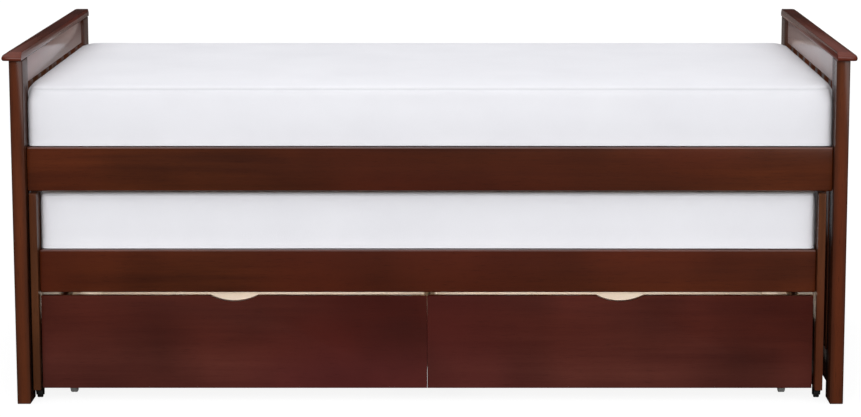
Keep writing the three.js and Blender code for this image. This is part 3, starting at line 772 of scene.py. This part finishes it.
    # nothing holds the cover where it stands above the boards, so it leans out there and folds down over their edge
    d = a[:, 2] - free_z
    rim = np.abs(a[:, 1] - my) > 0.96 * hy
    fold = np.where(np.abs(d) < 0.0065, 0.0002 + 0.12 * np.abs(d), 0.00098 + (np.abs(d) - 0.0065) * (0.01202 / 0.0065))
    a[:, 2] = np.where(rim & (np.abs(d) < 0.013), free_z + np.sign(d) * fold, a[:, 2])
    free = np.where(rim, np.clip(d / 0.0005, 0, 1), np.clip(d / 0.006, 0, 1))
    free = free * free * (3 - 2 * free)
    side = np.clip((np.abs(a[:, 1] - my) / ((hi.y - lo.y) / 2) - 0.90) / 0.10, 0, 1)
    belly = np.sin(np.pi * np.clip((a[:, 2] - free_z) / (hi.z - free_z), 0, 1) ** 0.8) * 0.25 + 0.75
    hang = np.exp(-np.clip(a[:, 2] - free_z, 0, None) / 0.013)
    a[:, 1] += np.sign(a[:, 1] - my) * (lean_y * belly + fold_y * hang) * free * side
    if lean_x:
        away = np.clip((post_y - np.abs(a[:, 1] - my)) / 0.030, 0, 1)
        away = away * away * (3 - 2 * away)
        endw = np.clip((np.abs(a[:, 0] - mx) / ((hi.x - lo.x) / 2) - 0.97) / 0.03, 0, 1)
        a[:, 0] += np.sign(a[:, 0] - mx) * lean_x * free * away * endw
    # a long shallow crown, as a filled cover has
    u = (a[:, 0] - (lo.x + hi.x) / 2) / ((hi.x - lo.x) / 2)
    v = (a[:, 1] - (lo.y + hi.y) / 2) / ((hi.y - lo.y) / 2)
    up = np.clip((a[:, 2] - lo.z) / (hi.z - lo.z), 0, 1)
    a[:, 2] += crown * up ** 3 * np.clip(1 - u ** 4, 0, 1) * np.clip(1 - v ** 4, 0, 1)
    set_coords(o, a)
    for p in o.data.polygons:
        p.use_smooth = True
    o.data.set_sharp_from_angle(angle=math.radians(56))
    o.data.materials.clear()
    # painted light: the lower mattress's knit is made 2.5% brighter than the upper's, to make up for the shade it sits
    # in under the bed
    o.data.materials.append(fabric(f"{name}_knit", (lo.z + 0.014, hi.z + lift - 0.0085), 1.025 if body == "trundle" else 1.0))
    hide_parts(node)
    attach(o, body)
    return o


rail_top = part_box("side_rail_front")[1].z
tr_rail_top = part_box("trundle_rail_front")[1].z
make_mattress("upper_mattress_cover", "bed_mattress", "bed", 0.012, 0.013, 0.0125, 0.004, 0.0015, 0.0050,
              rail_top + 0.001, 0.013, 0.0035, 0.0080, 0.462, (0.050, 0.046))
make_mattress("lower_mattress_cover", "trundle_mattress", "trundle", 0.012, 0.012, 0.0125, 0.003, 0.000, 0.000,
              tr_rail_top + 0.001, 0.009, 0.0065)


# ------------------------------------------------------- stage and lighting
def floor():
    mesh = bpy.data.meshes.new("floor")
    s = 18.0
    mesh.from_pydata([(-s, -s, -0.0006), (s, -s, -0.0006), (s, s, -0.0006), (-s, s, -0.0006)], [], [(0, 1, 2, 3)])
    o = bpy.data.objects.new("floor", mesh)
    scene.collection.objects.link(o)
    m = bpy.data.materials.new("pale_floor")
    m.use_nodes = True
    t = Tree(m.node_tree)
    out = t.node("ShaderNodeOutputMaterial")
    lit = t.node("ShaderNodeBsdfDiffuse")
    lit.inputs["Color"].default_value = (0.92, 0.92, 0.93, 1)
    glow = t.node("ShaderNodeEmission")
    glow.inputs["Color"].default_value = (1, 1, 1, 1)
    glow.inputs["Strength"].default_value = 1.05
    seen = t.node("ShaderNodeMixShader")
    seen.inputs[0].default_value = 0.84
    t.link(lit.outputs[0], seen.inputs[1])
    t.link(glow.outputs[0], seen.inputs[2])
    low = t.node("ShaderNodeAddShader")
    dull = t.node("ShaderNodeMixShader")
    matt = t.node("ShaderNodeBsdfDiffuse")
    matt.inputs["Color"].default_value = (0.03, 0.03, 0.03, 1)
    fill = t.node("ShaderNodeEmission")
    fill.inputs["Strength"].default_value = 0.28
    soft = t.node("ShaderNodeLightPath")
    t.link(soft.outputs["Is Diffuse Ray"], dull.inputs[0])
    t.link(matt.outputs[0], dull.inputs[1])
    t.link(fill.outputs[0], dull.inputs[2])
    back = t.node("ShaderNodeEmission")
    back.inputs["Color"].default_value = (1.0, 0.84, 0.77, 1)
    sep = t.node("ShaderNodeSeparateXYZ")
    t.link(t.node("ShaderNodeTexCoord").outputs["Object"], sep.inputs[0])
    behind = t.math("MULTIPLY", t.range(sep.outputs[1], 3.9, 5.5, 0.0, 0.50, True),
                    t.range(sep.outputs[1], 6.3, 8.6, 1.0, 0.40, True))
    behind = t.math("MULTIPLY", behind, t.range(sep.outputs[0], -0.35, 0.35, 0.85, 1.30, True))
    t.link(t.math("MULTIPLY", behind, t.math("SUBTRACT", 1.0, soft.outputs["Is Diffuse Ray"])), back.inputs["Strength"])
    t.link(dull.outputs[0], low.inputs[0])
    t.link(back.outputs[0], low.inputs[1])
    both = t.node("ShaderNodeMixShader")
    path = t.node("ShaderNodeLightPath")
    t.link(path.outputs["Is Camera Ray"], both.inputs[0])
    t.link(low.outputs[0], both.inputs[1])
    t.link(seen.outputs[0], both.inputs[2])
    t.link(both.outputs[0], out.inputs[0])
    o.data.materials.append(m)


floor()

world = bpy.data.worlds.new("studio")
scene.world = world
world.use_nodes = True
t = Tree(world.node_tree)
out = t.node("ShaderNodeOutputWorld")
seen = t.node("ShaderNodeBackground")
seen.inputs["Color"].default_value = (1, 1, 1, 1)
seen.inputs["Strength"].default_value = 1.0
amb = t.node("ShaderNodeBackground")
sep = t.node("ShaderNodeSeparateXYZ")
t.link(t.node("ShaderNodeTexCoord").outputs["Generated"], sep.inputs[0])
t.link(t.range(sep.outputs[2], 0.22, 0.8, 0.02, 0.45), amb.inputs["Strength"])
amb.inputs["Color"].default_value = (0.97, 0.98, 1.0, 1)
dome = t.node("ShaderNodeBackground")
dome.inputs["Color"].default_value = (0.99, 0.99, 1.0, 1)
dome.inputs["Strength"].default_value = 0.80
path = t.node("ShaderNodeLightPath")
both = t.node("ShaderNodeMixShader")
t.link(path.outputs["Is Diffuse Ray"], both.inputs[0])
t.link(amb.outputs[0], both.inputs[1])
t.link(dome.outputs[0], both.inputs[2])
mixs = t.node("ShaderNodeMixShader")
t.link(path.outputs["Is Camera Ray"], mixs.inputs[0])
t.link(both.outputs[0], mixs.inputs[1])
t.link(seen.outputs[0], mixs.inputs[2])
t.link(mixs.outputs[0], out.inputs[0])


def softbox(name, at, aim, w, h, power, colour=(1, 1, 1), glossy=True):
    d = bpy.data.lights.new(name, "AREA")
    d.shape = "RECTANGLE"
    d.size, d.size_y = w, h
    d.energy = power
    d.color = colour
    o = bpy.data.objects.new(name, d)
    scene.collection.objects.link(o)
    o.location = at
    o.rotation_euler = (Vector(aim) - Vector(at)).to_track_quat("-Z", "Y").to_euler()
    o.visible_camera = False
    o.visible_glossy = glossy
    return o


sky = bpy.data.lights.new("skylight", "SUN")
sky.energy = 0.70
sky.angle = math.radians(70)
sky.color = (1.0, 1.0, 1.0)
sky_o = bpy.data.objects.new("skylight", sky)
scene.collection.objects.link(sky_o)
sky_o.rotation_euler = Vector((0.10, 0.22, -1.0)).to_track_quat("-Z", "Y").to_euler()
softbox("front", (0, -4.8, 2.1), (0, -0.3, 0.40), 5.4, 2.0, 88)
softbox("front_fill", (0, -4.7, 2.5), (0, 0, 0.45), 6.0, 1.2, 64, glossy=False)
# light that reaches the drawers from above, behind their fronts
inner = softbox("drawer_glow", (-0.0076, 0.20, 0.292), (-0.0076, 0.36, 0.06), 1.80, 0.10, 2.7, (0.96, 0.98, 1.0))
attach(inner, "trundle")
